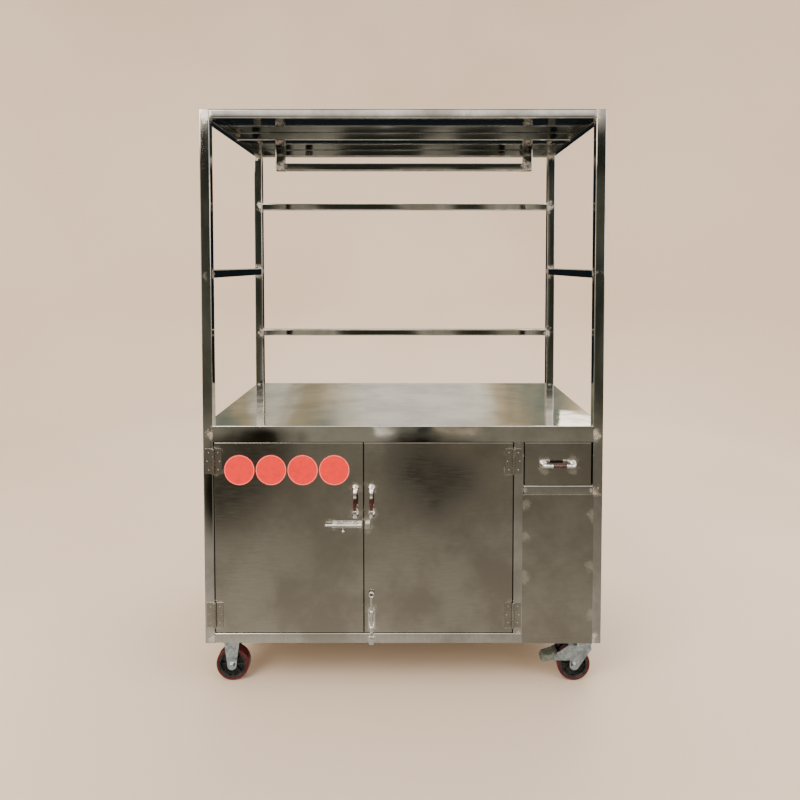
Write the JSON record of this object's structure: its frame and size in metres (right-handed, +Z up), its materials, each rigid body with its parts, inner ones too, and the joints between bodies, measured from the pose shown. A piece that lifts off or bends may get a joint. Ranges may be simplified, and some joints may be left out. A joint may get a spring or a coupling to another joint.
{
  "type": "push vending cart",
  "caption": "Stainless push cart with a tube frame, flat roof, thin worktop, cabinet with hinged doors and a drawer, rigid and swivel casters.",
  "frame": {"origin": "on the floor, under the middle of the cart's whole box, handles included", "axes": "+X runs along the cart's length, to the right for someone who faces the doors; -Y is the side with the doors; +Z is up"},
  "size_m": [1.2, 0.658, 1.75],
  "materials": {
    "tube_stainless": "mirror-polished stainless tube",
    "roof_stainless": "mirror-polished stainless sheet",
    "worktop_stainless": "mirror-polished thin sheet, slightly wavy",
    "door_stainless": "satin stainless sheet",
    "hinge_steel": "satin stainless",
    "bolt_steel": "polished stainless",
    "handle_chrome": "chromed",
    "caster_zinc": "bright zinc plate",
    "wheel_core": "black moulded polypropylene",
    "wheel_tread": "dark red polyurethane"
  },
  "bodies": {
    "frame": {"front_left_post": "tube_stainless", "front_right_post": "tube_stainless", "rear_left_post": "tube_stainless", "rear_right_post": "tube_stainless", "roof_long_rails": "tube_stainless", "roof_side_rails": "tube_stainless", "roof_middle_rail": "tube_stainless", "roof_sheet": "roof_stainless", "hangers": "tube_stainless", "hanging_rail": "tube_stainless", "side_bars": "tube_stainless", "rear_bars": "tube_stainless", "worktop": "worktop_stainless", "counter_long_rails": "tube_stainless", "counter_cross_rails": "tube_stainless", "base_long_rails": "tube_stainless", "base_cross_rails": "tube_stainless", "door_upright": "tube_stainless", "drawer_rail": "tube_stainless", "rear_middle_rail": "tube_stainless", "fixed_front_panel": "door_stainless", "side_panels": "door_stainless", "rear_panel": "door_stainless", "cabinet_floor": "door_stainless", "drawer_runners": "hinge_steel", "hinge_frame_leaves": "hinge_steel", "hinge_pins": "hinge_steel", "lower_bolt_keeper": "bolt_steel", "rigid_brackets": "caster_zinc", "left_axles": "caster_zinc", "swivel_plates": "caster_zinc", "kingpins": "caster_zinc"},
    "left_door": {"left_door": "door_stainless", "left_hinge_leaves": "hinge_steel", "left_door_handle": "handle_chrome", "cross_bolt_body": "bolt_steel"},
    "cross_bolt": {"cross_bolt_rod": "bolt_steel"},
    "right_door": {"right_door": "door_stainless", "right_hinge_leaves": "hinge_steel", "right_door_handle": "handle_chrome", "cross_bolt_keeper": "bolt_steel", "lower_bolt_body": "bolt_steel"},
    "lower_bolt": {"lower_bolt_rod": "bolt_steel"},
    "drawer": {"drawer_box": "door_stainless", "drawer_front": "door_stainless", "drawer_handle": "handle_chrome"},
    "front_swivel": {"front_fork": "caster_zinc", "front_right_axle": "caster_zinc"},
    "rear_swivel": {"rear_fork": "caster_zinc", "rear_right_axle": "caster_zinc"},
    "front_pedal": {"front_brake_pedal": "caster_zinc"},
    "rear_pedal": {"rear_brake_pedal": "caster_zinc"},
    "front_left_roller": {"front_left_wheel": "wheel_core", "front_left_tread": "wheel_tread"},
    "rear_left_roller": {"rear_left_wheel": "wheel_core", "rear_left_tread": "wheel_tread"},
    "front_right_roller": {"front_right_wheel": "wheel_core", "front_right_tread": "wheel_tread"},
    "rear_right_roller": {"rear_right_wheel": "wheel_core", "rear_right_tread": "wheel_tread"}
  },
  "joints": [
    {"name": "left_door_hinge", "type": "hinge", "parent": "frame", "child": "left_door", "pos_m": [-0.56875, -0.3058, 0.4685], "axis": [0, 0, -1], "range_deg": [0, 175]},
    {"name": "right_door_hinge", "type": "hinge", "parent": "frame", "child": "right_door", "pos_m": [0.33175, -0.3058, 0.4685], "axis": [0, 0, 1], "range_deg": [0, 90]},
    {"name": "cross_bolt_slide", "type": "slide", "parent": "left_door", "child": "cross_bolt", "axis": [1, 0, 0], "range_m": [0, 0.026]},
    {"name": "lower_bolt_slide", "type": "slide", "parent": "right_door", "child": "lower_bolt", "axis": [0, 0, -1], "range_m": [0, 0.024]},
    {"name": "drawer_slide", "type": "slide", "parent": "frame", "child": "drawer", "axis": [0, -1, 0], "range_m": [0, 0.35]},
    {"name": "front_caster_swivel", "type": "hinge", "parent": "frame", "child": "front_swivel", "pos_m": [0.56, -0.246, 0.12], "axis": [0, 0, 1], "continuous": true},
    {"name": "rear_caster_swivel", "type": "hinge", "parent": "frame", "child": "rear_swivel", "pos_m": [0.56, 0.274, 0.12], "axis": [0, 0, 1], "continuous": true},
    {"name": "front_brake", "type": "hinge", "parent": "front_swivel", "child": "front_pedal", "pos_m": [0.476, -0.246, 0.079], "axis": [0, -1, 0], "range_deg": [0, 12]},
    {"name": "rear_brake", "type": "hinge", "parent": "rear_swivel", "child": "rear_pedal", "pos_m": [0.476, 0.274, 0.079], "axis": [0, -1, 0], "range_deg": [0, 12]},
    {"name": "front_left_roll", "type": "hinge", "parent": "frame", "child": "front_left_roller", "pos_m": [-0.531, -0.246, 0.051], "axis": [0, 1, 0], "continuous": true},
    {"name": "rear_left_roll", "type": "hinge", "parent": "frame", "child": "rear_left_roller", "pos_m": [-0.531, 0.274, 0.051], "axis": [0, 1, 0], "continuous": true},
    {"name": "front_right_roll", "type": "hinge", "parent": "front_swivel", "child": "front_right_roller", "pos_m": [0.53, -0.246, 0.051], "axis": [0, 1, 0], "continuous": true},
    {"name": "rear_right_roll", "type": "hinge", "parent": "rear_swivel", "child": "rear_right_roller", "pos_m": [0.53, 0.274, 0.051], "axis": [0, 1, 0], "continuous": true}
  ]
}
